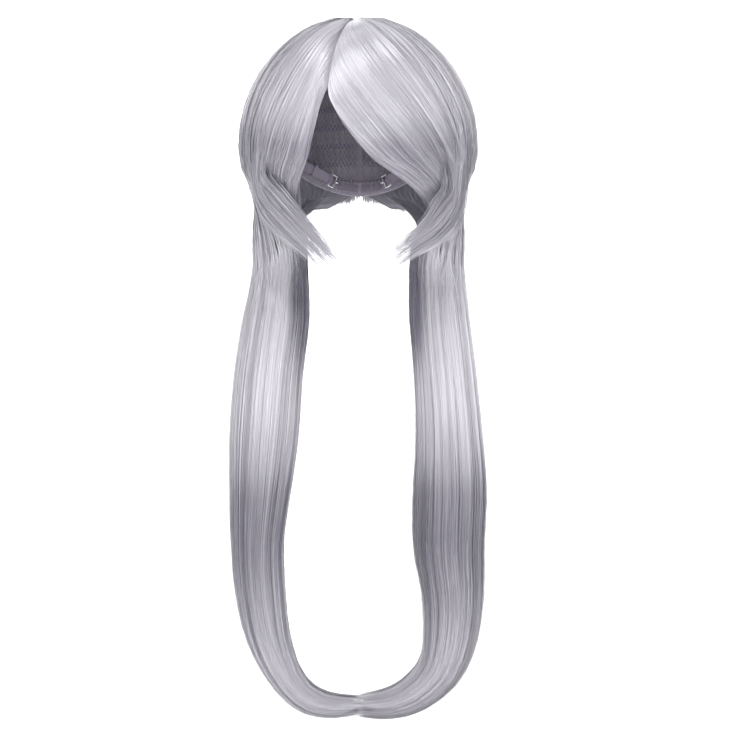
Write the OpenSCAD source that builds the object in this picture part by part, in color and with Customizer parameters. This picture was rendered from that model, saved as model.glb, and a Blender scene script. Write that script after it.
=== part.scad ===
// Long costume wig: a stretch cap with sewn wefts, parted crown hair, a swept fringe,
// two face locks and two long panels that hang in front of the shoulders.
// Millimetres. +Z up, the face looks towards -Y, +X is on the right seen from the front.
// Origin: centre of the cap's head opening, at the level of the ears.

/* [Head] */
// Half width of the head the cap fits
head_half_w = 74; // [68:0.5:80]
// Head centre to forehead
head_front = 92; // [85:0.5:100]
// Head centre to back of head
head_back = 98; // [90:0.5:106]
// Height of the head's dome above its widest level
head_dome = 110; // [100:0.5:120]
// Level of the head's widest part above the origin
head_mid_z = 12; // [5:0.5:20]

/* [Cap] */
// Polar angle of the cap's front edge from the crown
rim_front = 56; // [50:0.5:62]
// Polar angle of the cap's nape edge from the crown
rim_nape = 120; // [112:0.5:126]
// Thickness of the stretch lace
net_t = 0.8; // [0.4:0.1:1.2]
// Thickness of bands and seam ribs
band_t = 1.2; // [0.8:0.1:1.6]
// Number of sewn weft rows round the back
weft_rows = 10; // [6:1:10]

/* [Hair] */
// Half width of the hair over the ears
hair_half_w = 112; // [104:0.5:120]
// Hair surface in front of the head's centre
hair_front = 104; // [100:0.5:110]
// Hair surface behind the head's centre
hair_back = 122; // [114:0.5:130]
// Height of the hair dome above its widest level
hair_dome = 124; // [118:0.5:130]
// Level of the hair's widest part
hair_mid_z = 11; // [5:0.5:16]
// Direction of the parting, seen from above
part_angle = -19; // [-30:0.5:-12]

/* [Panels] */
// Level of each panel's swing axis
panel_hinge_z = -92; // [-100:0.5:-86]
// Level of the lowest hair
panel_end_z = -550; // [-580:1:-500]

/* [Straps] */
// Length of each elastic adjuster strap
strap_l = 40; // [34:0.5:46]
// Width of each elastic adjuster strap
strap_w = 9; // [7:0.5:11]

/* [Hidden] */

net_out = net_t;
band_in = net_t + 0.3;
band_out = band_in + band_t;
weft_in = band_out + 0.3;
weft_out = weft_in + 0.9;
root_in = 5;
gap_deg = 0.5;

// ---- surfaces ----
// p: direction seen from above, 0 = front, 90 = right, 180 = back. t: polar angle from the crown.
function rim(p) = rim_front + (rim_nape - rim_front) * (1 - cos(p)) / 2;
function rim_phi(t) = acos(max(-1, min(1, 1 - 2 * (t - rim_front) / (rim_nape - rim_front))));
function head_y(p) = cos(p) > 0 ? head_front : head_back;
function cap_pt(p, t, off) = [
    (head_half_w + off) * sin(t) * sin(p),
    -(head_y(p) + off) * sin(t) * cos(p),
    head_mid_z + (head_dome + off) * cos(t)];

// s: polar angle down to 90 degrees, then a slow descent to the shoulders
function fall(s) = (1 - cos(min(180, max(0, s - 90) * 3.6))) / 2;
function hair_y(p) = cos(p) > 0 ? hair_front : hair_back;
function hair_out(p, s) = s <= 90
    ? [hair_half_w * sin(s) * sin(p), -hair_y(p) * sin(s) * cos(p), hair_mid_z + hair_dome * cos(s)]
    : [(hair_half_w - 10 * fall(s)) * sin(p),
       -(hair_y(p) - (cos(p) > 0 ? 4 : 30) * fall(s)) * cos(p),
       hair_mid_z - (s - 90) * 1.4];
function hair_in_z(s) = head_mid_z - 1 - (s - 90) * 1.4;
function hair_in_k(s) = sqrt(max(0.3, 1 - pow((hair_in_z(s) - head_mid_z) / (head_dome + root_in), 2)));
function hair_in(p, s) = s <= 90
    ? cap_pt(p, s, root_in)
    : [(head_half_w + root_in) * hair_in_k(s) * sin(p),
       -(head_y(p) + root_in) * hair_in_k(s) * cos(p),
       hair_in_z(s)];
function hair_pt(p, s, f) = hair_in(p, s) * (1 - f) + hair_out(p, s) * f;
function mix(a, b, f) = a + (b - a) * f;

// ---- solids ----
// Closed slab between two matching grids of points, outer first
module slab(g_out, g_in) {
    nu = len(g_out) - 1;
    nv = len(g_out[0]) - 1;
    n = (nu + 1) * (nv + 1);
    pts = concat([for (r = g_out) for (q = r) q], [for (r = g_in) for (q = r) q]);
    faces = concat(
        [for (i = [0 : nu - 1]) for (j = [0 : nv - 1]) for (k = [0, 1])
            let (a = i * (nv + 1) + j, b = a + nv + 1)
            k == 0 ? [a, b, b + 1] : [a, b + 1, a + 1]],
        [for (i = [0 : nu - 1]) for (j = [0 : nv - 1]) for (k = [0, 1])
            let (a = n + i * (nv + 1) + j, b = a + nv + 1)
            k == 0 ? [a, b + 1, b] : [a, a + 1, b + 1]],
        [for (i = [0 : nu - 1]) for (k = [0, 1])
            let (a = i * (nv + 1), b = a + nv + 1)
            k == 0 ? [a, a + n, b + n] : [a, b + n, b]],
        [for (i = [0 : nu - 1]) for (k = [0, 1])
            let (a = i * (nv + 1) + nv, b = a + nv + 1)
            k == 0 ? [a, b + n, a + n] : [a, b, b + n]],
        [for (j = [0 : nv - 1]) for (k = [0, 1])
            let (a = j, b = a + 1)
            k == 0 ? [a, b + n, a + n] : [a, b, b + n]],
        [for (j = [0 : nv - 1]) for (k = [0, 1])
            let (a = nu * (nv + 1) + j, b = a + 1)
            k == 0 ? [a, a + n, b + n] : [a, b + n, b]]);
    polyhedron(pts, faces, convexity = 6);
}

// Piece of cap between two directions, from t0 to t1 or to the rim less a margin
module cap_piece(p0, p1, t0, t1, in_off, out_off, nu, nv, to_rim = false, margin = 0) {
    o = [for (i = [0 : nu]) let (p = mix(p0, p1, i / nu)) [for (j = [0 : nv])
        cap_pt(p, mix(t0, to_rim ? rim(p) - margin : t1, j / nv), out_off)]];
    q = [for (i = [0 : nu]) let (p = mix(p0, p1, i / nu)) [for (j = [0 : nv])
        cap_pt(p, mix(t0, to_rim ? rim(p) - margin : t1, j / nv), in_off)]];
    slab(o, q);
}

// Strip that follows the cap's rim, from w0 to w1 degrees above it
module rim_strip(p0, p1, w0, w1, in_off, out_off, nu) {
    o = [for (i = [0 : nu]) let (p = mix(p0, p1, i / nu)) [for (w = [w1, w0])
        cap_pt(p, rim(p) - w, out_off)]];
    q = [for (i = [0 : nu]) let (p = mix(p0, p1, i / nu)) [for (w = [w1, w0])
        cap_pt(p, rim(p) - w, in_off)]];
    slab(o, q);
}

// Body of hair between two directions and two levels; f0 and f1 are its inner and outer depth
module hair_piece(p0, p1, s0, s1, f0, f1, nu, nv) {
    o = [for (i = [0 : nu]) let (p = mix(p0, p1, i / nu)) [for (j = [0 : nv])
        hair_pt(p, mix(s0, s1, j / nv), f1)]];
    q = [for (i = [0 : nu]) let (p = mix(p0, p1, i / nu)) [for (j = [0 : nv])
        hair_pt(p, mix(s0, s1, j / nv), f0)]];
    slab(o, q);
}

// Smooth point on a path of stations [x, y, z, half width, half depth]
function cr(a, b, c, d, t) = 0.5 * (2 * b + (c - a) * t + (2 * a - 5 * b + 4 * c - d) * t * t
    + (3 * b - a - 3 * c + d) * t * t * t);
function path_pt(st, u) =
    let (n = len(st) - 1, i = min(n - 1, floor(u)), t = u - i)
    cr(st[max(0, i - 1)], st[i], st[i + 1], st[min(n, i + 2)], t);
function unit(v) = v / norm(v);
function xyz(v) = [v[0], v[1], v[2]];

// Lock of hair: a round-ended sweep; out = 0 keeps its depth along Y, 1 along the head's radius
module lock(st, out = 0, sub = 3, sides = 12, round_l = 0.5, tip = 0.25) {
    n = (len(st) - 1) * sub;
    m = [for (i = [0 : n]) path_pt(st, i / sub)];
    rings = [for (i = [0 : n])
        let (c = xyz(m[i]),
             tn = unit(xyz(m[min(n, i + 1)]) - xyz(m[max(0, i - 1)])),
             d = unit(out == 0 ? [0, -1, 0] : [c[0] * 0.8, c[1], 0]),
             w = unit(cross(tn, d)),
             b = cross(w, tn),
             u = i / sub,
             head = u < round_l ? sqrt(max(0.04, 1 - pow(1 - u / round_l, 2))) : 1,
             left = (n - i) / n,
             tail = left < 0.35 ? mix(tip, 1, sqrt(left / 0.35)) : 1,
             e = min(head, tail))
        [for (k = [0 : sides - 1]) c + w * m[i][3] * e * cos(360 * k / sides)
            + b * m[i][4] * e * sin(360 * k / sides)]];
    pts = concat([for (r = rings) for (q = r) q], [xyz(m[0]), xyz(m[n])]);
    last = n * sides;
    faces = concat(
        [for (i = [0 : n - 1]) for (k = [0 : sides - 1]) for (h = [0, 1])
            let (a = i * sides + k, b = i * sides + (k + 1) % sides)
            h == 0 ? [a, b + sides, b] : [a, a + sides, b + sides]],
        [for (k = [0 : sides - 1]) [(n + 1) * sides, k, (k + 1) % sides]],
        [for (k = [0 : sides - 1]) [(n + 1) * sides + 1, last + (k + 1) % sides, last + k]]);
    polyhedron(pts, faces, convexity = 6);
}

module sided(side) {
    if (side > 0) children();
    else mirror([1, 0, 0]) children();
}

// ---- cap ----
module crown_patch() {
    rings = 6;
    around = 36;
    t_end = 20;
    color([0.86, 0.74, 0.66])
    polyhedron(
        concat(
            [for (i = [1 : rings]) for (k = [0 : around - 1])
                cap_pt(360 * k / around, t_end * i / rings, band_out)],
            [for (i = [1 : rings]) for (k = [0 : around - 1])
                cap_pt(360 * k / around, t_end * i / rings, 0)],
            [cap_pt(0, 0, band_out), cap_pt(0, 0, 0)]),
        concat(
            [for (i = [0 : rings - 2]) for (k = [0 : around - 1]) for (h = [0, 1])
                let (a = i * around + k, b = i * around + (k + 1) % around)
                h == 0 ? [a, b, b + around] : [a, b + around, a + around]],
            [for (i = [0 : rings - 2]) for (k = [0 : around - 1]) for (h = [0, 1])
                let (z = rings * around, a = z + i * around + k, b = z + i * around + (k + 1) % around)
                h == 0 ? [a, b + around, b] : [a, a + around, b + around]],
            [for (k = [0 : around - 1]) [2 * rings * around, (k + 1) % around, k]],
            [for (k = [0 : around - 1]) let (z = rings * around)
                [2 * z + 1, z + k, z + (k + 1) % around]],
            [for (k = [0 : around - 1]) for (h = [0, 1])
                let (z = rings * around, a = z - around + k, b = z - around + (k + 1) % around)
                h == 0 ? [a, b, b + z] : [a, b + z, a + z]]),
        convexity = 4);
}

module front_net(side) {
    color([0.72, 0.69, 0.75]) sided(side)
    cap_piece(gap_deg, 95 - gap_deg, 20.6, 0, 0, net_out, 12, 6, true, 0.6);
}

module back_net(side) {
    color([0.72, 0.69, 0.75]) sided(side)
    cap_piece(95 + gap_deg, 180 - gap_deg, 20.6, 0, 0, net_out, 12, 10, true, 0.6);
}

module front_band() {
    color([0.66, 0.63, 0.7]) rim_strip(-84, 84, 0, 5.5, band_in, band_out, 30);
}

module nape_band() {
    color([0.66, 0.63, 0.7]) rim_strip(96, 264, 0, 7.5, band_in, band_out, 34);
}

// Seam rib from the crown patch down to a band, width in degrees
module rib(p, w, margin) {
    color([0.6, 0.57, 0.64])
    cap_piece(p - w / 2, p + w / 2, 21, 0, band_in, band_out, 1, 12, true, margin);
}

module weft_row(k) {
    t = 26 + (k - 1) * 9.4;
    w = 2.3;
    p0 = max(t < 52 ? 62 : 88, t + w + 3 < rim_nape ? rim_phi(t + w + 3) : 150);
    color([0.5, 0.47, 0.54])
    cap_piece(p0, 360 - p0, t, t + w, weft_in, weft_out, 26, 1);
}

module ear_tab(side) {
    // hangs in front of the ear from the rim; rounded lower end
    n = 10;
    color([0.66, 0.63, 0.7]) sided(side)
    slab([for (i = [0 : n]) let (p = mix(68, 86, i / n), e = sqrt(max(0, 1 - pow(i * 2 / n - 1, 2))))
             [for (t = [0.8, 4 + 14 * e]) cap_pt(p, rim(p) + t, band_out)]],
         [for (i = [0 : n]) let (p = mix(68, 86, i / n), e = sqrt(max(0, 1 - pow(i * 2 / n - 1, 2))))
             [for (t = [0.8, 4 + 14 * e]) cap_pt(p, rim(p) + t, band_in)]]);
}

module ear_stay(side) {
    color([0.82, 0.83, 0.86]) sided(side)
    slab([for (p = [75.8, 78.2]) [for (j = [0 : 4]) cap_pt(p, rim(p) + mix(2.2, 15, j / 4), band_out + 0.9)]],
         [for (p = [75.8, 78.2]) [for (j = [0 : 4]) cap_pt(p, rim(p) + mix(2.2, 15, j / 4), band_out + 0.2)]]);
}

// ---- adjusters: strap frame runs from near the ear (a) towards the nape centre (b) ----
strap_a = cap_pt(118, rim(118) - 4, -4);
strap_b = cap_pt(150, rim(150) - 4, -10);
strap_d = unit(strap_b - strap_a);
strap_n0 = [0.5, 0.85, 0];
strap_n = unit(strap_n0 - strap_d * (strap_n0 * strap_d));
strap_v = cross(strap_n, strap_d);
module at_strap(side) {
    sided(side)
    multmatrix([[strap_d[0], strap_v[0], strap_n[0], strap_b[0]],
                [strap_d[1], strap_v[1], strap_n[1], strap_b[1]],
                [strap_d[2], strap_v[2], strap_n[2], strap_b[2]],
                [0, 0, 0, 1]])
    children();
}

module adjuster_strap(side) {
    color([0.62, 0.6, 0.66]) at_strap(side)
    difference() {
        union() {
            translate([-strap_l, -strap_w / 2, -0.5]) cube([strap_l, strap_w, 1]);
            rotate([90, 0, 0]) cylinder(h = strap_w, r = 1.9, center = true, $fn = 48);
        }
        rotate([90, 0, 0]) cylinder(h = strap_w + 2, r = 1.1, center = true, $fn = 48);
    }
}

module strap_hook(side) {
    arm_y = strap_w / 2 + 1.5;
    color([0.8, 0.8, 0.83]) at_strap(side)
    union() {
        rotate([90, 0, 0]) cylinder(h = 2 * arm_y, r = 0.8, center = true, $fn = 32);
        for (s = [-1, 1]) {
            translate([0, s * arm_y, 0]) sphere(r = 0.8, $fn = 24);
            translate([0, s * arm_y, 0]) rotate([0, 90, 0]) cylinder(h = 7, r = 0.8, $fn = 32);
            translate([7, s * arm_y, 0]) sphere(r = 0.8, $fn = 24);
        }
        translate([7, 0, 0]) rotate([90, 0, 0]) cylinder(h = 2 * arm_y, r = 0.8, center = true, $fn = 32);
        translate([7, 0, -1.9]) rotate([90, 0, 0])
        rotate([0, 0, 90]) rotate_extrude(angle = -250, $fn = 48) translate([1.9, 0]) circle(r = 0.75, $fn = 24);
    }
}

module strap_keeper(side) {
    color([0.55, 0.52, 0.6]) at_strap(side)
    translate([-strap_l + 17, 0, 0])
    difference() {
        translate([-2, -strap_w / 2 - 1.4, -1.7]) cube([4, strap_w + 2.8, 3.4]);
        translate([-3, -strap_w / 2 - 0.5, -0.9]) cube([6, strap_w + 1, 1.8]);
    }
}

module loop_tape(side) {
    color([0.55, 0.52, 0.6]) sided(side) {
        rim_strip(159.8, 178.6, 1.6, 6, -1.75, -0.95, 8);
        for (i = [0 : 3])
            let (p = 162 + i * 5, q = cap_pt(p, rim(p) - 3.8, -3.05))
            translate(q) rotate([0, 0, p - 90 + 90]) rotate([0, 90, 0])
            rotate_extrude($fn = 40) translate([1.7, 0]) circle(r = 0.35, $fn = 16);
    }
}

// ---- hair on the cap ----
hair_col = [0.78, 0.76, 0.82];
hair_dark = [0.66, 0.63, 0.71];

module crown_hair_left() {
    color(hair_col) hair_piece(-96, part_angle - 0.6, 1.6, 50, 0, 1, 12, 8);
}
module crown_hair_right() {
    color(hair_col) hair_piece(part_angle + 0.6, 96, 1.6, 50, 0, 1, 16, 8);
}
module back_crown(side) {
    color(hair_col) sided(side) hair_piece(97, 179.5, 1.6, 50, 0, 1, 12, 8);
}
module side_hair(side) {
    color(hair_col) sided(side) hair_piece(60, 126, 51, 137, 0, 1, 10, 14);
}
module back_hair(side) {
    color(hair_col) sided(side) hair_piece(127, 179.5, 51, 137, 0, 1, 10, 14);
}
module nape_hair(side) {
    color(hair_dark) sided(side)
    lock([[24, 74, -74, 12, 12], [44, 68, -80, 15, 13], [64, 54, -86, 17, 14],
          [78, 38, -92, 15, 13], [82, 30, -97, 9, 8]], 1, 3, 12, 0.5, 0.5);
}

// Swept fringe: its lower edge runs from the parting down across the forehead to the temple
module fringe_sweep() {
    nv = 14;
    nu = 10;
    o = [for (i = [0 : nu]) [for (j = [0 : nv])
        let (v = j / nv, s = mix(51.2, 121, v), pe = mix(part_angle + 1.2, 39, pow(v, 1.45)))
        hair_pt(mix(pe, 58.5, i / nu), s, 0.96)]];
    q = [for (i = [0 : nu]) [for (j = [0 : nv])
        let (v = j / nv, s = mix(51.2, 121, v), pe = mix(part_angle + 1.2, 39, pow(v, 1.45)))
        hair_pt(mix(pe, 58.5, i / nu), s, mix(0.1, 0.3, v))]];
    color(hair_col) slab(o, q);
}
module fringe_left() {
    nv = 8;
    nu = 6;
    o = [for (i = [0 : nu]) [for (j = [0 : nv])
        let (v = j / nv, s = mix(51.2, 86, v), pe = mix(part_angle - 1.2, -25, v))
        hair_pt(mix(-58.5, pe, i / nu), s, 0.96)]];
    q = [for (i = [0 : nu]) [for (j = [0 : nv])
        let (v = j / nv, s = mix(51.2, 86, v), pe = mix(part_angle - 1.2, -25, v))
        hair_pt(mix(-58.5, pe, i / nu), s, mix(0.1, 0.3, v))]];
    color(hair_col) slab(o, q);
}
module face_lock_left() {
    color(hair_col)
    lock([[-88, -66, 4, 9, 7], [-90, -72, -16, 11, 8], [-82, -84, -36, 11, 8], [-64, -95, -50, 10, 7],
          [-44, -102, -64, 8, 6], [-26, -106, -80, 5, 4]], 1, 3, 12, 0.6, 0.25);
}
module face_lock_right() {
    color(hair_col)
    lock([[91, -60, -50, 9, 7], [84, -78, -54, 11, 8], [68, -92, -60, 10, 7], [48, -100, -69, 8, 6],
          [26, -106, -82, 5, 4]], 1, 3, 12, 0.6, 0.25);
}

// ---- long panels: stations [inner edge, outer edge, y, z, half depth] ----
left_run = [[57, 98, -18, -66, 14], [53, 100, -27, -100, 16], [50, 107, -48, -145, 17],
            [56, 115, -68, -195, 17], [60, 120, -80, -250, 17], [68, 121, -85, -305, 17],
            [76, 121, -87, -360, 16], [75, 118, -85, -415, 15], [71, 108, -79, -465, 13]];
right_run = [[57, 98, -18, -66, 14], [53, 99, -27, -100, 16], [52, 103, -48, -145, 17],
             [56, 109, -68, -195, 17], [58, 115, -80, -250, 17], [56, 120, -85, -305, 17],
             [56, 119, -87, -360, 16], [65, 120, -85, -415, 15], [66, 114, -79, -465, 13]];
module panel_lock(run, side, f0, f1, tail) {
    st = [for (r = run) [mix(r[0], r[1], (f0 + f1) / 2), r[2], r[3],
        (r[1] - r[0]) * (f1 - f0) / 2 - 0.3, r[4]]];
    color(hair_col) sided(side) lock(concat(st, tail), 0, 3, 12, 0.6, 0.35);
}
module long_panel_outer_left() {
    panel_lock(left_run, -1, 0.5, 1, [[80, -70, panel_end_z + 38, 9, 10], [58, -67, panel_end_z + 8, 8, 9],
                                      [28, -66, panel_end_z, 7, 8], [5, -66, panel_end_z - 1, 5, 6]]);
}
module long_panel_inner_left() {
    panel_lock(left_run, -1, 0, 0.5, [[60, -72, panel_end_z + 42, 7, 10], [43, -69, panel_end_z + 24, 6, 9],
                                      [24, -67, panel_end_z + 17, 6, 8], [5, -67, panel_end_z + 15, 4, 6]]);
}
module long_panel_outer_right() {
    panel_lock(right_run, 1, 0.5, 1, [[88, -71, panel_end_z + 38, 11, 10], [62, -67, panel_end_z + 9, 9, 9],
                                      [30, -66, panel_end_z, 8, 8], [5, -66, panel_end_z - 1, 6, 6]]);
}
module long_panel_inner_right() {
    panel_lock(right_run, 1, 0, 0.5, [[62, -72, panel_end_z + 45, 9, 10], [42, -69, panel_end_z + 28, 8, 9],
                                      [22, -67, panel_end_z + 20, 7, 8], [5, -67, panel_end_z + 19, 5, 6]]);
}
module long_panel_under(side, run) {
    st = [for (i = [0 : 6]) let (r = run[i]) [mix(r[0], r[1], 0.5), r[2] + r[4] + 10.5, r[3] - 2,
        (r[1] - r[0]) * 0.42, 9.5]];
    color(hair_dark) sided(side) lock(st, 0, 3, 12, 0.6, 0.3);
}

crown_patch();
front_net(-1);  // front_net_left
front_net(1);  // front_net_right
back_net(-1);  // back_net_left
back_net(1);  // back_net_right
front_band();
nape_band();
rib(0, 5, 6.3);  // rib_front_centre
rib(-90, 4, 1);  // rib_side_left
rib(90, 4, 1);  // rib_side_right
rib(-138, 4, 8.3);  // rib_back_left
rib(138, 4, 8.3);  // rib_back_right
rib(180, 4, 8.3);  // rib_back_centre
weft_row(1);  // weft_row_01
weft_row(2);  // weft_row_02
weft_row(3);  // weft_row_03
weft_row(4);  // weft_row_04
weft_row(5);  // weft_row_05
weft_row(6);  // weft_row_06
weft_row(7);  // weft_row_07
weft_row(8);  // weft_row_08
weft_row(9);  // weft_row_09
weft_row(10);  // weft_row_10
ear_tab(-1);  // ear_tab_left
ear_tab(1);  // ear_tab_right
ear_stay(-1);  // ear_stay_left
ear_stay(1);  // ear_stay_right
loop_tape(-1);  // loop_tape_left
loop_tape(1);  // loop_tape_right
strap_keeper(-1);  // strap_keeper_left
strap_keeper(1);  // strap_keeper_right
adjuster_strap(-1);  // adjuster_strap_left
adjuster_strap(1);  // adjuster_strap_right
strap_hook(-1);  // strap_hook_left
strap_hook(1);  // strap_hook_right
crown_hair_left();
crown_hair_right();
side_hair(-1);  // side_hair_left
side_hair(1);  // side_hair_right
back_crown(-1);  // back_crown_left
back_crown(1);  // back_crown_right
back_hair(-1);  // back_hair_left
back_hair(1);  // back_hair_right
nape_hair(-1);  // nape_hair_left
nape_hair(1);  // nape_hair_right
fringe_sweep();
fringe_left();
face_lock_left();
face_lock_right();
long_panel_outer_left();
long_panel_outer_right();
long_panel_inner_left();
long_panel_inner_right();
long_panel_under(-1, left_run);  // long_panel_under_left
long_panel_under(1, right_run);  // long_panel_under_right
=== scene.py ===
"""Long two-panel costume wig: strand hair over a wefted stretch cap."""
import math

import bpy
import numpy as np
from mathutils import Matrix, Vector


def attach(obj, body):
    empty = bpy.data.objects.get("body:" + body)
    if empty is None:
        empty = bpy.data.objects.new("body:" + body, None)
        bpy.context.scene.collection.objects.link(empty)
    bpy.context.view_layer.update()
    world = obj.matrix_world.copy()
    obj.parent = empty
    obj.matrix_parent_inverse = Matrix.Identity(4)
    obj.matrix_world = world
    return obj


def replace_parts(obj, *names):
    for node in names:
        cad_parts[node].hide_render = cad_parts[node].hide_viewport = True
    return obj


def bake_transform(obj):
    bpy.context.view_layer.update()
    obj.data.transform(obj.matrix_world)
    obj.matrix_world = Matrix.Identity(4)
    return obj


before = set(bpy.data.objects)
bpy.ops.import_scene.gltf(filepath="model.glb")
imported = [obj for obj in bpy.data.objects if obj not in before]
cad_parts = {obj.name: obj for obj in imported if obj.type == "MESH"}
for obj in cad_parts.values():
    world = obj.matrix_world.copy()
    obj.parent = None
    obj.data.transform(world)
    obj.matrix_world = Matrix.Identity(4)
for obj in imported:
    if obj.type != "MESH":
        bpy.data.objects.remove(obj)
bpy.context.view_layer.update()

RAD = math.pi / 180
PART = -19.0          # direction of the parting, degrees round from the front
SIDES = ((-1, "left"), (1, "right"))


# ---------------------------------------------------------------- shape, in mm
def fall(s):
    """0 down to the widest level (s 90), rising to 1 by s 140."""
    return (1 - np.cos(np.clip((s - 90) * 3.6, 0, 180) * RAD)) / 2


def rim(p):
    """Angle from the top to the cap's edge in direction p, in degrees."""
    return 56 + 64 * (1 - np.cos(p * RAD)) / 2


def cap_pt(p, t, off):
    """Point `off` mm outside the cap, in direction p and t degrees from the top."""
    hy = np.where(np.cos(p * RAD) > 0, 92.0, 98.0)
    return np.stack([(74 + off) * np.sin(t * RAD) * np.sin(p * RAD),
                     -(hy + off) * np.sin(t * RAD) * np.cos(p * RAD),
                     12 + (110 + off) * np.cos(t * RAD)], -1)


def hair_pt(p, s, f):
    """p: direction seen from above, s: level, f: depth from the cap (0) to the surface (1)."""
    p, s, f = np.broadcast_arrays(np.asarray(p, float), np.asarray(s, float), np.asarray(f, float))
    c, sn = np.cos(p * RAD), np.sin(p * RAD)
    up = s <= 90
    ss = np.where(up, np.sin(s * RAD), 1.0)
    fl = fall(s)
    front = c > 0
    ho = np.stack([(112 * ss - 10 * fl) * sn,
                   -(np.where(front, 104.0, 122.0) * ss - np.where(front, 4.0, 30.0) * fl) * c,
                   np.where(up, 11 + 124 * np.cos(s * RAD), 11 - (s - 90) * 1.4)], -1)
    hi = np.stack([79 * ss * (1 - 0.22 * fl) * sn,
                   -np.where(front, 97.0, 103.0) * ss * (1 - 0.2 * fl) * c,
                   np.where(up, 12 + 115 * np.cos(s * RAD), 11 - (s - 90) * 1.4)], -1)
    return hi + (ho - hi) * f[..., None]


def hair_n(p, s):
    """Outward unit normal of the hair surface."""
    p, s = np.broadcast_arrays(np.asarray(p, float), np.asarray(s, float))
    c, sn = np.cos(p * RAD), np.sin(p * RAD)
    ss = np.where(s <= 90, np.sin(s * RAD), 1.0)
    n = np.stack([ss * sn / 112, -ss * c / np.where(c > 0, 104.0, 122.0),
                  np.where(s <= 90, np.cos(s * RAD), -0.10 * fall(s)) / 124], -1)
    return n / np.linalg.norm(n, axis=-1, keepdims=True)


def mix(a, b, t):
    return a + (b - a) * t


def smooth(t):
    t = np.clip(t, 0, 1)
    return t * t * (3 - 2 * t)


# panel stations: centre x, centre y, z, half width, half depth; x is outward
RUN = {
    1: np.array([[76, -17, -112, 24, 28], [77.5, -38, -145, 25.5, 27], [82.5, -58, -195, 26.5, 27],
                 [86.5, -70, -250, 28.5, 26], [88, -76, -305, 32, 25], [87.5, -79, -360, 31.5, 23],
                 [92.5, -79, -415, 27.5, 20], [90, -76, -465, 24, 17], [80, -71, -502, 20, 14],
                 [54, -68, -530, 17, 12], [27, -67, -541, 14, 10], [-8, -67, -542, 10, 9]], float),
    -1: np.array([[76.5, -17, -112, 24.5, 28], [78.5, -38, -145, 28.5, 27], [85.5, -58, -195, 29.5, 27],
                  [90, -70, -250, 30, 26], [94.5, -76, -305, 26.5, 25], [98.5, -79, -360, 22.5, 23],
                  [96.5, -79, -415, 21.5, 20], [89.5, -76, -465, 18.5, 17], [73, -71, -510, 14, 13],
                  [52, -68, -535, 13, 11], [26, -67, -543, 11, 9], [-8, -67, -541, 8, 8]], float)}


def panel_frames(side):
    """Centres, section axes and half sizes at one panel's stations."""
    st = RUN[side]
    c = st[:, :3]
    tn = np.gradient(c, axis=0)
    tn /= np.linalg.norm(tn, axis=1)[:, None]
    tn[0] = (0, 0, -1)
    tn[1] += (0, 0, -0.6)
    tn /= np.linalg.norm(tn, axis=1)[:, None]
    w = np.cross(np.array([0, -1.0, 0])[None], tn)
    w /= np.linalg.norm(w, axis=1)[:, None]
    d = np.cross(w, tn)
    flip = np.sign(d[:, 1])[:, None]
    return c, w, d * flip, st[:, 3], st[:, 4]


def panel_pt(side, a, r):
    """a: angle round the panel's section (n, K) in degrees, r: radius share (n, K)."""
    c, w, d, hw, hd = panel_frames(side)
    ca, sa = np.cos(a * RAD), np.sin(a * RAD)
    ca = np.sign(ca) * np.abs(ca) ** 0.75
    sa = np.sign(sa) * np.abs(sa) ** 0.75
    rad = w[None] * (hw[None] * ca)[..., None] + d[None] * (hd[None] * sa)[..., None]
    return c[None] + rad * r[..., None], rad / (np.linalg.norm(rad, axis=-1, keepdims=True) + 1e-9)


# ---------------------------------------------------------------- strands
def resample(cp, nr, ends, m):
    """Smooth curves through the control points, cut at the share `ends` of their length."""
    n, k, _ = cp.shape
    sub = 4
    u = np.linspace(0, k - 1, (k - 1) * sub + 1)
    i = np.minimum(u.astype(int), k - 2)
    t = (u - i)[None, :, None]
    a, b, c, d = (cp[:, np.clip(i + o, 0, k - 1)] for o in (-1, 0, 1, 2))
    pts = 0.5 * (2 * b + (c - a) * t + (2 * a - 5 * b + 4 * c - d) * t * t
                 + (3 * b - a - 3 * c + d) * t ** 3)
    nn = nr[:, i] * (1 - t) + nr[:, i + 1] * t
    seg = np.linalg.norm(np.diff(pts, axis=1), axis=2)
    run = np.concatenate([np.zeros((n, 1)), np.cumsum(seg, 1)], 1)
    out, on = np.empty((n, m, 3)), np.empty((n, m, 3))
    goal = np.linspace(0, 1, m)
    for j in range(n):
        g = goal * run[j, -1] * ends[j]
        for x in range(3):
            out[j, :, x] = np.interp(g, run[j], pts[j, :, x])
            on[j, :, x] = np.interp(g, run[j], nn[j, :, x])
    return out, on


def mirror(pts, nrm, side):
    """Turns points and normals built with x outward into the frame's x, in place."""
    pts[..., 0] *= side
    nrm[..., 0] *= side


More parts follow.
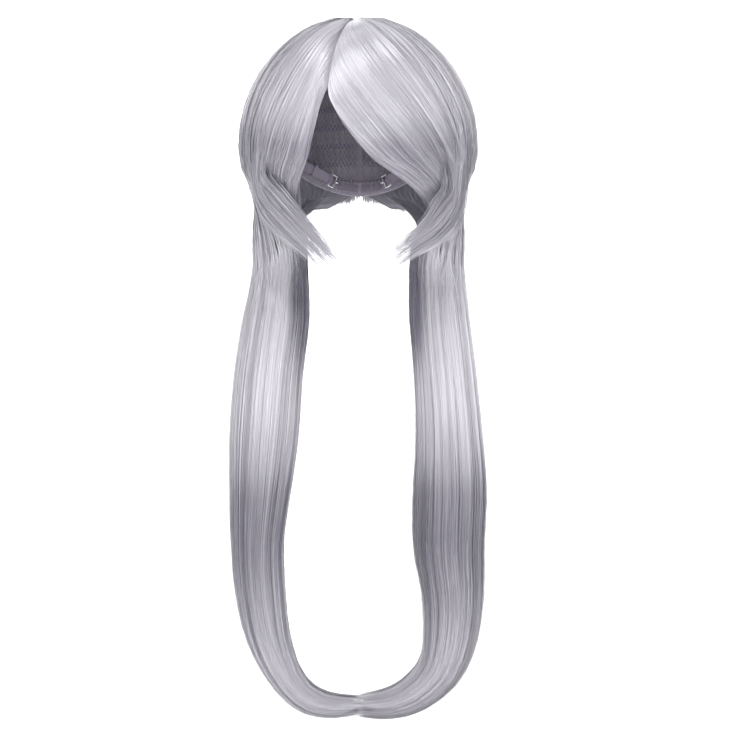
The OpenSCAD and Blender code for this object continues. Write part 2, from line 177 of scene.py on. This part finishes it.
def ribbons(name, pts, nrm, width, roll, tint, mat, root_w=0.6, tip=0.14):
    """One mesh of flat fibres. pts (n, m, 3) mm, tint (n, m, 3) linear colour."""
    n, m, _ = pts.shape
    tn = np.gradient(pts, axis=1)
    tn /= np.linalg.norm(tn, axis=2, keepdims=True) + 1e-9
    nrm = nrm - tn * (nrm * tn).sum(2, keepdims=True)
    nrm /= np.linalg.norm(nrm, axis=2, keepdims=True) + 1e-9
    sd = np.cross(tn, nrm)
    t = np.linspace(0, 1, m)[None]
    ang = (roll[:, None] + 0.15 * np.sin(t * 6 + roll[:, None] * 40))[..., None]
    side = sd * np.cos(ang) + nrm * np.sin(ang)
    w = (width[:, None] * np.minimum(1, mix(root_w, 1, np.minimum(1, t / 0.08)))
         * np.minimum(1, ((1 - t) / tip + 0.04)) ** 0.6)
    a = pts - side * w[..., None] / 2
    b = pts + side * w[..., None] / 2
    co = np.stack([a, b], 2).reshape(-1, 3) / 1000
    base = (np.arange(n)[:, None] * m + np.arange(m - 1)[None]).reshape(-1) * 2
    quads = np.stack([base, base + 1, base + 3, base + 2], 1)
    u0 = np.repeat((np.arange(n) + 0.12) / n, m)
    u1 = np.repeat((np.arange(n) + 0.88) / n, m)
    v = np.tile(0.01 + 0.98 * np.linspace(0, 1, m), n)
    uv = np.stack([np.stack([u0, v], 1), np.stack([u1, v], 1)], 1).reshape(-1, 2)
    col = np.repeat(tint.reshape(-1, 3), 2, 0)
    return mesh_of(name, co, quads, uv, col, mat)


def mesh_of(name, co, quads, uv, col, mat):
    me = bpy.data.meshes.new(name)
    me.vertices.add(len(co))
    me.vertices.foreach_set("co", co.astype(np.float32).ravel())
    k = quads.shape[1]
    me.loops.add(quads.size)
    me.loops.foreach_set("vertex_index", quads.astype(np.int32).ravel())
    me.polygons.add(len(quads))
    me.polygons.foreach_set("loop_start", np.arange(0, quads.size, k, dtype=np.int32))
    me.update(calc_edges=True)
    me.polygons.foreach_set("use_smooth", np.ones(len(quads), bool))
    lay = me.uv_layers.new(name="OFBake")
    lay.data.foreach_set("uv", uv[quads.ravel()].astype(np.float32).ravel())
    at = me.attributes.new("tint", "FLOAT_COLOR", "POINT")
    rgba = np.concatenate([col, np.ones((len(col), 1))], 1)
    at.data.foreach_set("color", rgba.astype(np.float32).ravel())
    me.materials.append(mat)
    me.validate()
    ob = bpy.data.objects.new(name, me)
    bpy.context.scene.collection.objects.link(ob)
    return ob


# ---------------------------------------------------------------- materials
def nodes_of(name):
    mat = bpy.data.materials.new(name)
    mat.use_nodes = True
    nt = mat.node_tree
    return mat, nt, nt.nodes["Principled BSDF"]


def hair_material(name, rough=0.34, gain=1.0):
    mat, nt, bs = nodes_of(name)
    at = nt.nodes.new("ShaderNodeAttribute")
    at.attribute_name = "tint"
    uv = nt.nodes.new("ShaderNodeUVMap")
    uv.uv_map = "OFBake"
    mp = nt.nodes.new("ShaderNodeMapping")
    mp.inputs["Scale"].default_value = (900, 3, 1)
    nz = nt.nodes.new("ShaderNodeTexNoise")
    nz.inputs["Scale"].default_value = 1.0
    nz.inputs["Detail"].default_value = 2.0
    nt.links.new(uv.outputs["UV"], mp.inputs["Vector"])
    nt.links.new(mp.outputs["Vector"], nz.inputs["Vector"])
    rg = nt.nodes.new("ShaderNodeMapRange")
    rg.inputs["To Min"].default_value = 0.90 * gain
    rg.inputs["To Max"].default_value = 1.09 * gain
    nt.links.new(nz.outputs["Fac"], rg.inputs["Value"])
    mul = nt.nodes.new("ShaderNodeMix")
    mul.data_type = "RGBA"
    mul.blend_type = "MULTIPLY"
    mul.inputs["Factor"].default_value = 1.0
    nt.links.new(at.outputs["Color"], mul.inputs["A"])
    nt.links.new(rg.outputs["Result"], mul.inputs["B"])
    nt.links.new(mul.outputs["Result"], bs.inputs["Base Color"])
    rr = nt.nodes.new("ShaderNodeMapRange")
    rr.inputs["To Min"].default_value = rough - 0.06
    rr.inputs["To Max"].default_value = rough + 0.08
    nt.links.new(nz.outputs["Fac"], rr.inputs["Value"])
    nt.links.new(rr.outputs["Result"], bs.inputs["Roughness"])
    bs.inputs["IOR"].default_value = 1.85
    tg = nt.nodes.new("ShaderNodeTangent")
    tg.direction_type = "UV_MAP"
    tg.uv_map = "OFBake"
    nt.links.new(tg.outputs["Tangent"], bs.inputs["Tangent"])
    bs.inputs["Anisotropic"].default_value = 0.85
    return mat


HAIR = hair_material("hair_fibre")
# under-hair core material, darker than the fibres: painted shade
CORE = hair_material("hair_under_fibre", 0.5, 0.9)


# ---------------------------------------------------------------- tints
# hair colour ramp; the DARK end is reached mostly through the painted shade in tints, partly through random
# tone
LIGHT = np.array([0.54, 0.523, 0.572])
MID = np.array([0.36, 0.346, 0.398])
DARK = np.array([0.135, 0.127, 0.168])

# painted highlight and shade bands by height (mm), set by comparing brightness with the photograph
PAINTED_LIGHT_Z = [-560, -520, -480, -440, -400, -350, -305, -270, -230, -130, -80, -40, -8, 22, 50, 78, 110]
PAINTED_LIGHT_G = [0.05, -0.08, -0.16, -0.30, -0.48, -0.72, -0.62, -0.12, 0.20, 0.20, 0.10, -0.02, -0.42,
          -0.44, 0.02, 0.20, 0.02]


def tints(lock_g, strand_g, depth, along, z=None):
    """lock_g, strand_g about 0; depth (n,) 0 inner to 1 outer; along (n, m) adds along the fibre."""
    # fibres deeper in the hair are painted darker: painted shade
    g = 0.66 + 0.15 * lock_g + 0.14 * strand_g + 0.50 * (np.minimum(depth, 1.0) - 0.85)
    g = g[:, None] + along
    # painted highlight and shade: brighter or darker bands by height
    if z is not None:
        g = g + np.interp(z, PAINTED_LIGHT_Z, PAINTED_LIGHT_G)
    g = np.clip(g, 0, 1.15)[..., None]
    return np.where(g < 0.5, DARK + (MID - DARK) * g * 2, MID + (LIGHT - MID) * (g - 0.5) * 2)


# points along one fibre
LONG_POINTS = 40
FRONT_POINTS = 26
NAPE_POINTS = 18


# ---------------------------------------------------------------- crown-to-panel hair
def long_hair(side, outer, inner, per, seed):
    """Fibres from the crown point over the dome, past the neck and down one panel."""
    r = np.random.default_rng(seed)
    part = PART * side
    nl = outer + inner
    ring = np.concatenate([57 + 124.5 * (np.arange(outer) + r.random(outer)) / outer,
                           58 + 121 * (np.arange(inner) + r.random(inner)) / inner])
    order = np.argsort(ring)
    dep = np.concatenate([r.uniform(0.9, 1.0, outer), r.uniform(0.1, 0.85, inner)])[order]
    ring = ring[order]
    tress = 0.035 * np.sin(ring * 0.55 + 1.3 * side) + 0.02 * np.sin(ring * 1.7 + 2)
    dep = np.clip(dep + tress, 0.05, 1.04)
    glock = r.normal(0, 1, nl) + 0.8 * np.sin(ring * 0.9 + side)
    ph = r.uniform(0, 6.28, (nl, 4))
    long = r.uniform(0.965, 1.0, nl)
    long[r.random(nl) < 0.14] *= 0.86
    n = nl * per
    li = np.repeat(np.arange(nl), per)
    wild = (r.random(n) < 0.012) * 1.0
    dr = r.normal(0, 1.7, n) + wild * r.normal(0, 6, n)
    f_in = np.clip(dep[li] + r.normal(0, 0.035, n) + 0.04 * wild, 0.03, 1.08)[:, None]
    tgt = np.clip(ring[li] + dr, 50, 182.5)
    ka = 10
    v = np.linspace(0, 1, ka)[None]
    root_s = r.uniform(0.4, 5.0, (n, 1))
    s = mix(root_s, 100.0, v)
    p = tgt[:, None] - (tgt[:, None] - part) * 0.14 * (1 - v) ** 2
    rise = smooth(v / 0.07)
    fa = mix(0.55, f_in, rise) + 0.018 * np.sin(v * 7 + ph[li, 0][:, None]) * rise
    pa = hair_pt(p, s, fa)
    na = hair_n(p, s)
    # gather: the back half swings forward round the neck while every fibre closes in on the panel
    kb = 6
    w = np.linspace(0, 1, kb + 1)[1:][None]
    back = np.maximum(0, tgt - 95)[:, None]
    pg = tgt[:, None] - back * 0.74 * smooth((w - 0.12) / 0.88) ** 1.2
    pb = hair_pt(pg, 100 + 52 * w, mix(f_in, np.clip(f_in, 0.62, 1), smooth(w / 0.2)))
    pb[..., 2] -= smooth(w) * np.clip((tgt[:, None] - 105) / 75, 0, 1) * 14
    nb = hair_n(pg, 100 + 52 * w)
    lock_a = -169 + 338 * (ring[li] - 58) / 121
    own_a = -169 + 338 * (tgt - 58) / 121
    rho = np.clip(0.15 + 0.87 * f_in ** 1.2, 0.1, 1.04) + r.normal(0, 0.03, (n, 1))
    ca, sa = np.cos(lock_a * RAD)[:, None], np.sin(lock_a * RAD)[:, None]
    cb, sb = np.sign(ca) * np.abs(ca) ** 0.75, np.sign(sa) * np.abs(sa) ** 0.75
    up = np.stack([76 + mix(30, 24.5, w) * cb * rho, mix(0, -9, w) + mix(50, 28, w) * sb * rho,
                   mix(-6.0, -91.0, w) + 0 * ca], -1)
    # the further back a fibre is, the later it closes in, which keeps the strap hooks clear
    late = 0.1 + 0.30 * smooth((tgt[:, None] - 125) / 40)
    wb = smooth((w - late) / (1 - late))[..., None]
    pb = pb * (1 - wb) + up * wb
    nb = nb * (1 - wb) + np.stack([ca + 0 * w, sa + 0 * w, 0 * w + 0 * ca], -1) * wb
    # panel
    kc = RUN[side].shape[0]
    z = np.linspace(0, 1, kc)[None]
    tight = np.interp(np.linspace(0, 1, kc), [0, 0.35, 1], [1.0, 0.85, 0.7])[None]
    ang = lock_a[:, None] + (own_a - lock_a)[:, None] * tight + 4 * np.sin(z * 5 + ph[li, 2][:, None]) * z
    rr = rho + 0.015 * np.sin(z * 8 + ph[li, 3][:, None])
    pc, nc = panel_pt(side, ang, rr)
    pc = pc + (np.stack([r.normal(0, 1.0, n), r.normal(0, 0.8, n), np.zeros(n)], 1))[:, None]
    cp = np.concatenate([pa, pb, pc], 1)
    nn = np.concatenate([na, nb, nc], 1)
    nn /= np.linalg.norm(nn, axis=2, keepdims=True) + 1e-9
    ends = np.clip(long[li] * r.uniform(0.972, 1.0, n), 0.5, 1)
    pts, nrm = resample(cp, nn, ends, LONG_POINTS)
    t = np.linspace(0, 1, LONG_POINTS)[None]
    # random tone along the fibre, painted shade darkening the roots, a little lighter towards the tip
    along = (0.03 * np.sin(t * 12 + ph[li, 0][:, None])
             + 0.05 * np.interp(t, [0, 0.03, 0.08, 1], [-3.0, -1.0, 0, 0.2]))
    # painted shade: inner-side fibres by the neck are darker between about z -62 and -215 mm
    neck = smooth((69 - pts[..., 0]) / 14) * smooth((-62 - pts[..., 2]) / 20)
    along = along - neck * smooth((pts[..., 2] + 215) / 70)
    col = tints(0.5 * glock[li], r.normal(0, 1, n), f_in[:, 0], along, pts[..., 2])
    mirror(pts, nrm, side)
    return pts, nrm, r.uniform(0.34, 0.62, n), r.normal(0, 0.22, n), col


def add_long(side, word, outer, inner, per, parts, seed):
    pts, nrm, wd, roll, col = long_hair(side, outer, inner, per, seed)
    for k in range(parts):
        q = slice(k * len(pts) // parts, (k + 1) * len(pts) // parts)
        ob = ribbons("long_hair_%s_%d" % (word, k + 1), pts[q], nrm[q], wd[q], roll[q], col[q], HAIR)
        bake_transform(ob)


add_long(-1, "left", outer=210, inner=60, per=62, parts=7, seed=101)
add_long(1, "right", outer=210, inner=60, per=62, parts=7, seed=201)


# ---------------------------------------------------------------- fringe and left curtain
def front_hair(side, locks, per, seed, root, end, s_end, power, crowd, word, g_depth):
    r = np.random.default_rng(seed)
    n = locks * per
    g = (np.arange(locks) + r.random(locks)) / locks
    li = np.repeat(np.arange(locks), per)
    gs = np.clip(g[li] + r.normal(0, 0.022, n), 0, 1) ** crowd
    v = np.linspace(0, 1, 15)[None]
    s0 = mix(root[0], root[1], np.clip(gs / 0.55, 0, 1) ** 0.6)[:, None]
    p1 = mix(end[0], end[1], gs)[:, None]
    p0 = mix(PART * side - 0.8, p1, 0.9 * smooth((gs[:, None] - 0.32) / 0.5))
    s1 = (mix(s_end[0], s_end[1], gs) + r.normal(0, 2.0, n))[:, None]
    pw = mix(power[0], power[1], gs)[:, None]
    s = mix(s0, s1, v)
    p = mix(p0, p1, v ** pw)
    dep = r.uniform(g_depth[0], g_depth[1], locks)[li] + r.normal(0, 0.05, n)
    ph = r.uniform(0, 6.28, (locks, 2))
    wave = 0.03 * np.sin(v * 6 + ph[li, 0][:, None]) * smooth(v / 0.3)
    f = mix(0.84 - 0.45 * s0 / 53, dep[:, None], smooth(v / 0.22)) + wave
    f = f - (0.28 + 0.40 * smooth((gs[:, None] - 0.5) / 0.3)) * smooth((v - 0.66) / 0.34)
    p = (p + 0.8 * np.sin(v * 6 + ph[li, 1][:, None]) * smooth(v / 0.5)
         + r.normal(0, 0.5, (n, 1)) * v)
    cp = hair_pt(p, s, f)
    nn = hair_n(p, s)
    pts, nrm = resample(cp, nn, 1 - r.random(n) * (0.13 + 0.2 * gs), FRONT_POINTS)
    t = np.linspace(0, 1, FRONT_POINTS)[None]
    # random tone along the fibre, painted shade darkening the roots, a little lighter towards the tip
    along = (0.06 * np.sin(t * 8 + ph[li, 0][:, None])
             + 0.05 * np.interp(t, [0, 0.06, 0.15, 1], [-1.6, -0.6, 0, 0.2]))
    col = tints(0.5 * r.normal(0, 1, locks)[li], r.normal(0, 1, n), np.full(n, 0.93), along, pts[..., 2])
    mirror(pts, nrm, side)
    return ribbons(word, pts, nrm, r.uniform(0.34, 0.62, n), r.normal(0, 0.22, n), col, HAIR)


# root levels, end directions, end levels, curve powers, crowding towards the parting
FRINGE = ((53.0, 2.5), (51, 82), (122, 113), (1.35, 0.8), 1.15)
CURTAIN = ((53.0, 2.5), (39, 78), (125, 114), (1.45, 0.8), 1.5)
FRONT_LOCKS, FRONT_PER_LOCK = 90, 42
fronts = []
for side, shape, word, body, a, b in (
        (1, FRINGE, "fringe_sweep_hair", "fringe_right", (-0.020, -0.075, 0.100), (0.000, -0.090, 0.070)),
        (-1, CURTAIN, "fringe_left_hair", "fringe_left", (-0.040, -0.065, 0.100), (-0.045, -0.080, 0.070))):
    for k, depth in enumerate(((0.93, 1.03), (0.80, 0.96))):
        seed = 301 + 10 * side + k
        ob = front_hair(side, FRONT_LOCKS, FRONT_PER_LOCK, seed, *shape, "%s_%d" % (word, k + 1), depth)
        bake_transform(ob)
        fronts.append(ob)


# ---------------------------------------------------------------- face locks
def face_lock(side, stations, mid_p, s_low, locks, per, seed, word):
    r = np.random.default_rng(seed)
    st = np.array(stations, float)
    c = st[:, :3]
    tn = np.gradient(c, axis=0)
    tn /= np.linalg.norm(tn, axis=1)[:, None]
    out = np.stack([c[:, 0] * 0.8, c[:, 1], np.zeros(len(c))], 1)
    out /= np.linalg.norm(out, axis=1)[:, None]
    w = np.cross(tn, out)
    w /= np.linalg.norm(w, axis=1)[:, None]
    b = np.cross(w, tn)
    n = locks * per
    li = np.repeat(np.arange(locks), per)
    cx, cy = r.uniform(-0.9, 0.9, locks), r.uniform(-0.8, 0.8, locks)
    k = len(st)
    tight = np.linspace(1, 0.8, k)[None]
    a0 = cx[li][:, None] + r.normal(0, 0.16, (n, 1))
    ax = (cx[li][:, None] + (a0 - cx[li][:, None]) * tight
          + 0.12 * np.sin(np.arange(k)[None] * 0.9 + cx[li][:, None] * 9))
    ay = cy[li][:, None] + r.normal(0, 0.22, (n, 1)) * tight
    cp = (c[None] + w[None] * (ax * st[:, 3][None])[..., None]
          + b[None] * (ay * st[:, 4][None])[..., None])
    nn = b[None] + w[None] * (ax * 0.5)[..., None]
    u = np.linspace(0, 1, 6)[None]
    hp = mid_p - 15 * a0 + 0 * u
    hs = mix(r.uniform(38, 62, (n, 1)), s_low, u)
    hf = mix(0.55, 0.93, smooth(u)) + 0.05 * ay[:, :1]
    cp = np.concatenate([hair_pt(hp, hs, hf), cp], 1)
    nn = np.concatenate([hair_n(hp, hs), nn], 1)
    nn = nn / (np.linalg.norm(nn, axis=2, keepdims=True) + 1e-9)
    ends = np.clip(r.uniform(0.76, 1.0, locks)[li] * r.uniform(0.74, 1.01, n), 0.5, 1)
    pts, nrm = resample(cp, nn, ends, FRONT_POINTS)
    t = np.linspace(0, 1, FRONT_POINTS)[None]
    # painted shade darkens the first 40% of each fibre towards the root
    along = 0.05 * np.sin(t * 8 + cx[li][:, None] * 9) - 0.12 * smooth((0.40 - t) / 0.40)
    lock_g = 0.5 * r.normal(0, 0.8, locks)[li]
    # painted highlight and shade bands, read at half the fibre's height
    col = tints(lock_g, r.normal(0, 1, n), np.full(n, 0.92), along, 0.5 * pts[..., 2])
    mirror(pts, nrm, side)
    return ribbons(word, pts, nrm, r.uniform(0.32, 0.6, n), r.normal(0, 0.3, n), col, HAIR, tip=0.35)


# lock stations: centre x, centre y, z, half width, half depth; x is outward
LOCK_LEFT = [[89, -62, -14, 14, 5], [79, -79, -32, 16, 5], [62, -93, -49, 15, 5],
             [43, -101, -66, 13, 5], [26, -105, -83, 12, 4], [13, -105, -95, 11, 4]]
LOCK_RIGHT = [[90, -62, -26, 15, 5], [81, -76, -44, 16, 5], [67, -90, -57, 13, 5],
              [48, -99, -68, 11, 5], [30, -105, -80, 10, 4], [16, -105, -90, 9, 4]]
lock_l = face_lock(-1, LOCK_LEFT, 58, 80, 44, 40, 401, "face_lock_left_hair")
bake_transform(lock_l)
lock_r = face_lock(1, LOCK_RIGHT, 58, 84, 38, 40, 402, "face_lock_right_hair")
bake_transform(lock_r)


# ---------------------------------------------------------------- under-hair cores
def core_grid(name, pos, n_u, n_v, seed, core_shade=0.42):
    """Closed-section streaky surface; pos(u, v) with v running round the section 0..1."""
    r = np.random.default_rng(seed)
    u = np.linspace(0, 1, n_u + 1)
    v = np.linspace(0, 1, n_v + 1)
    g, h = np.meshgrid(u, v, indexing="ij")
    co = pos(g, h).reshape(-1, 3) / 1000
    i, j = np.meshgrid(np.arange(n_u), np.arange(n_v), indexing="ij")
    b = (i * (n_v + 1) + j).ravel()
    quads = np.stack([b, b + n_v + 1, b + n_v + 2, b + 1], 1)
    uv = np.stack([g.ravel(), h.ravel()], 1) * 0.98 + 0.01
    # painted shade: the cores take a deep tone between DARK * 0.7 and MID, with random streaks
    streak = np.interp(g.ravel(), np.linspace(0, 1, 400), r.normal(0, 1, 400))
    tone = np.clip(core_shade + 0.09 * streak, 0.05, 1)[:, None]
    col = DARK * 0.7 + (MID - DARK * 0.7) * tone
    return mesh_of(name, co, quads, uv, col, CORE)


def dome_core(side):
    edge_s = np.array([4, 57, 73, 86, 101, 114, 123, 150.0])
    edge_right = [0, 0, 12, 34, 52, 60, 64, 66.0]
    edge_left = [0, 0, 8, 18, 26, 34, 44, 58.0]
    edge_p = np.array(edge_right if side > 0 else edge_left)
    base = PART * side + 9

    def pos(u, v):
        k = np.where(v < 0.5, v * 2, 2 - v * 2)
        s = mix(1, 138, k)
        start = base + np.interp(s, edge_s, edge_p)
        p = mix(start, 180.4, u)
        w = np.clip((s - 122) / 30, 0, 1)
        p = p - np.maximum(0, p - 95) * 0.5 * smooth(w)
        near = np.abs(p - PART * side) * np.sin(s * RAD)
        top = mix(0.25, 0.66, smooth(near / 24))
        under = np.minimum(0.06 + 0.42 * smooth((s - 104) / 18), top - 0.05)
        f = np.where(v < 0.5, top, under) + 0.03 * np.sin(u * 170) * np.where(v < 0.5, 1, 0.4)
        f = mix(f, 0.52, smooth((k - 0.93) / 0.07))
        q = hair_pt(p, s, f)
        q[..., 0] *= side
        return q
    return pos


def panel_core(side):
    c, w, d, hw, hd = panel_frames(side)
    x = np.arange(len(c))

    def pos(u, v):
        q = u * (len(x) - 2.2)

        def at(rows):
            return np.stack([np.interp(q, x, rows[:, i]) for i in range(3)], -1)
        a = v * 2 * math.pi
        shrink = 0.60 * (1 - 0.75 * smooth((u - 0.7) / 0.3)) + 0.02 * np.sin(v * 90 + u * 4)
        p = at(c) + at(w) * (np.interp(q, x, hw) * shrink * np.cos(a))[..., None] \
            + at(d) * (np.interp(q, x, hd) * shrink * np.sin(a))[..., None]
        p[..., 0] *= side
        return p
    return pos


for side, word in SIDES:
    ob = core_grid("hair_core_" + word, dome_core(side), n_u=260, n_v=72, seed=501 + side)
    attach(ob, "wig")
    names = [k + word for k in ("crown_hair_", "side_hair_", "back_crown_", "back_hair_", "nape_hair_")]
    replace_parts(ob, *names)
    ob = core_grid("panel_core_" + word, panel_core(side), n_u=90, n_v=120, seed=511 + side)
    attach(ob, "panel_" + word)
    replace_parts(ob, *[k + word for k in ("long_panel_outer_", "long_panel_inner_", "long_panel_under_")])

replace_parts(fronts[0], "fringe_sweep")
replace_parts(fronts[2], "fringe_left")
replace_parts(lock_l, "face_lock_left")
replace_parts(lock_r, "face_lock_right")


def nape_strands(side, word, n, seed):
    """Short hair that hangs over the nape band behind the neck."""
    r = np.random.default_rng(seed)
    tuft = 40
    v = np.linspace(0, 1, 9)[None]
    g = np.repeat(r.random(n // tuft), tuft) * 0.9 + r.random(n) * 0.1
    p = mix(118, 181.5, g)[:, None] + r.normal(0, 0.8, (n, 1)) * v
    s = mix(r.uniform(78, 104, (n, 1)), mix(132, 146, 1 - g)[:, None] + r.normal(0, 2.5, (n, 1)), v)
    f = mix(0.62, 0.86, smooth(v / 0.4)) + r.normal(0, 0.05, (n, 1)) - 0.14 * smooth((v - 0.5) / 0.5)
    pts, nrm = resample(hair_pt(p, s, f), hair_n(p, s), r.uniform(0.82, 1.0, n), NAPE_POINTS)
    even = np.zeros((n, NAPE_POINTS))
    col = tints(0.4 * np.sin(g * 70), r.normal(0, 1, n), np.full(n, 0.80), even)
    mirror(pts, nrm, side)
    ob = ribbons("nape_strands_" + word, pts, nrm, r.uniform(0.34, 0.6, n), r.normal(0, 0.22, n), col, HAIR)
    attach(ob, "wig")


nape_strands(-1, "left", 3200, 601)
nape_strands(1, "right", 3200, 602)


# ---------------------------------------------------------------- cap cloth
def cloth_material(name, a, b, scale, rough=0.85, kind="wave"):
    mat, nt, bs = nodes_of(name)
    tc = nt.nodes.new("ShaderNodeTexCoord")
    if kind == "wave":
        tx = nt.nodes.new("ShaderNodeTexWave")
        tx.inputs["Scale"].default_value = scale
        tx.inputs["Distortion"].default_value = 1.2
        tx.inputs["Detail"].default_value = 2
        fac = tx.outputs["Fac"]
    else:
        tx = nt.nodes.new("ShaderNodeTexNoise")
        tx.inputs["Scale"].default_value = scale
        tx.inputs["Detail"].default_value = 4
        fac = tx.outputs["Fac"]
    nt.links.new(tc.outputs["Object"], tx.inputs["Vector"])
    rp = nt.nodes.new("ShaderNodeValToRGB")
    rp.color_ramp.elements[0].position = 0.3
    rp.color_ramp.elements[0].color = (*a, 1)
    rp.color_ramp.elements[1].position = 0.7
    rp.color_ramp.elements[1].color = (*b, 1)
    nt.links.new(fac, rp.inputs["Fac"])
    nt.links.new(rp.outputs["Color"], bs.inputs["Base Color"])
    mr = nt.nodes.new("ShaderNodeMapRange")
    mr.inputs["To Min"].default_value = max(0.05, rough - 0.08)
    mr.inputs["To Max"].default_value = min(1.0, rough + 0.08)
    nt.links.new(fac, mr.inputs["Value"])
    nt.links.new(mr.outputs["Result"], bs.inputs["Roughness"])
    return mat


TAPE = cloth_material("elastic_tape", (0.17, 0.15, 0.20), (0.30, 0.27, 0.34), 900)
BAND = cloth_material("cap_band", (0.30, 0.28, 0.34), (0.42, 0.39, 0.46), 600, 0.9, "noise")
WEFT = cloth_material("weft_track", (0.10, 0.09, 0.13), (0.26, 0.23, 0.30), 1200)
SKIN = cloth_material("skin_patch", (0.55, 0.40, 0.32), (0.68, 0.52, 0.43), 900, 0.8, "noise")
LACE = cloth_material("lace", (0.36, 0.33, 0.41), (0.48, 0.45, 0.53), 800, 0.85, "noise")
METAL = cloth_material("hook_metal", (0.55, 0.55, 0.57), (0.75, 0.75, 0.77), 300, 0.28, "noise")
METAL.node_tree.nodes["Principled BSDF"].inputs["Metallic"].default_value = 1.0
THREAD = cloth_material("net_thread", (0.20, 0.18, 0.24), (0.36, 0.33, 0.40), 500, 0.8, "noise")


def net_mesh(side, lo, hi, name):
    """Diamond lattice of stretch threads on the cap between two directions."""
    lines = []
    knots = 24
    q = np.linspace(0, 1, knots)
    for c in np.arange(-25, 26) / 26:
        a = mix(max(0, -c), min(1, 1 - c), q)
        lines += [(a, a + c), (a, 1 - a - c)]
    a = np.array([k[0] for k in lines])
    b = np.clip(np.array([k[1] for k in lines]), 0, 1)
    p = mix(lo, hi, a)
    t = mix(20.6, rim(p) - 0.6, b)
    pts = cap_pt(p, t, 0.4)
    nrm = hair_n(p, np.minimum(t, 89))
    mirror(pts, nrm, side)
    n = len(pts)
    grey = np.full((n, knots, 3), 0.3)
    ob = ribbons(name, pts, nrm, np.full(n, 0.7), np.zeros(n), grey, THREAD, 1.0, 0.01)
    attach(ob, "wig")
    return ob


for side, word in SIDES:
    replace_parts(net_mesh(side, 0.8, 94.2, "front_net_mesh_" + word), "front_net_" + word)
    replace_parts(net_mesh(side, 95.8, 179.2, "back_net_mesh_" + word), "back_net_" + word)
for name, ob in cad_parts.items():
    mat = None
    if name.startswith(("rib_", "loop_tape", "strap_keeper", "adjuster_strap")):
        mat = TAPE
    elif name.startswith("weft_row"):
        mat = WEFT
    elif name in ("front_band", "nape_band") or name.startswith("ear_tab"):
        mat = BAND
    elif name == "crown_patch":
        mat = SKIN
    elif name.startswith(("ear_stay", "strap_hook")):
        mat = METAL
    elif name.startswith(("front_net", "back_net")):
        mat = LACE
    if mat:
        ob.data.materials.clear()
        ob.data.materials.append(mat)


# ---------------------------------------------------------------- floor, light, camera
FLOOR_Z = -0.5600
SEGMENTS = 48         # round the floor
BEND = 1.6            # radius of the sweep's bend, m
prof = [(0.0, 0.0), (0.6, 0.0), (1.6, 0.0), (2.8, 0.0)]
for k in range(1, 13):
    prof.append((2.8 + BEND * math.sin(k * math.pi / 24), BEND - BEND * math.cos(k * math.pi / 24)))
prof.append((4.4, 4.4))
turn = [(math.cos(k * math.pi / 24), math.sin(k * math.pi / 24)) for k in range(SEGMENTS)]
vs = [(q * a, q * b, z + FLOOR_Z) for q, z in prof for a, b in turn]
faces = []
for i in range(len(prof) - 1):
    for k in range(SEGMENTS):
        a, b = i * SEGMENTS + k, i * SEGMENTS + (k + 1) % SEGMENTS
        faces.append((a, b, b + SEGMENTS, a + SEGMENTS))
fme = bpy.data.meshes.new("sweep")
fme.from_pydata(vs, [], faces)
for q in fme.polygons:
    q.use_smooth = True
floor = bpy.data.objects.new("studio_sweep", fme)
bpy.context.scene.collection.objects.link(floor)
fm, fn, fb = nodes_of("sweep_paper")
fb.inputs["Base Color"].default_value = (0.92, 0.92, 0.92, 1)
fb.inputs["Roughness"].default_value = 0.9
# painted light: the sweep paper glows, its emission rising from 0.20 at the front to 0.72 towards the back
fb.inputs["Emission Color"].default_value = (1, 1, 1, 1)
tc = fn.nodes.new("ShaderNodeTexCoord")
sp = fn.nodes.new("ShaderNodeSeparateXYZ")
gm = fn.nodes.new("ShaderNodeMapRange")
gm.inputs["From Min"].default_value = -2.5
gm.inputs["From Max"].default_value = 1.5
gm.inputs["To Min"].default_value = 0.20
gm.inputs["To Max"].default_value = 0.72
fn.links.new(tc.outputs["Object"], sp.inputs["Vector"])
fn.links.new(sp.outputs["Y"], gm.inputs["Value"])
fn.links.new(gm.outputs["Result"], fb.inputs["Emission Strength"])
floor.data.materials.append(fm)
world = bpy.data.worlds.new("studio")
bpy.context.scene.world = world
world.use_nodes = True
bg = world.node_tree.nodes["Background"]
bg.inputs["Color"].default_value = (1, 1, 1, 1)
bg.inputs["Strength"].default_value = 0.12


def area(name, loc, size, power, target=(0, 0, -0.1)):
    lt = bpy.data.lights.new(name, "AREA")
    lt.size = size
    lt.energy = power
    ob = bpy.data.objects.new(name, lt)
    ob.location = loc
    d = Vector(target) - Vector(loc)
    ob.rotation_euler = d.to_track_quat("-Z", "Y").to_euler()
    bpy.context.scene.collection.objects.link(ob)


area("key_light", (-0.15, -0.55, 1.55), 0.9, 22, (0, -0.05, 0.0))
area("front_light", (0.0, -1.75, 0.12), 0.7, 9.5, (0, 0, -0.15))
area("fill_light", (1.6, -1.3, 0.5), 1.2, 3.5)
area("back_wall_light", (0.0, 1.2, 2.6), 2.0, 40, (0, 3.5, 0.4))

cam = bpy.data.cameras.new("view")
cam.sensor_width = 36
cam.lens = 62.4
cam.clip_end = 30
co = bpy.data.objects.new("view", cam)
co.location = (0.016, -1.263, 0.114)
CAMERA_TIP = 14.5     # degrees below level
co.rotation_euler = ((90 - CAMERA_TIP) * RAD, 0, 0)
bpy.context.scene.collection.objects.link(co)
bpy.context.scene.camera = co
bpy.context.scene.view_settings.view_transform = "Standard"
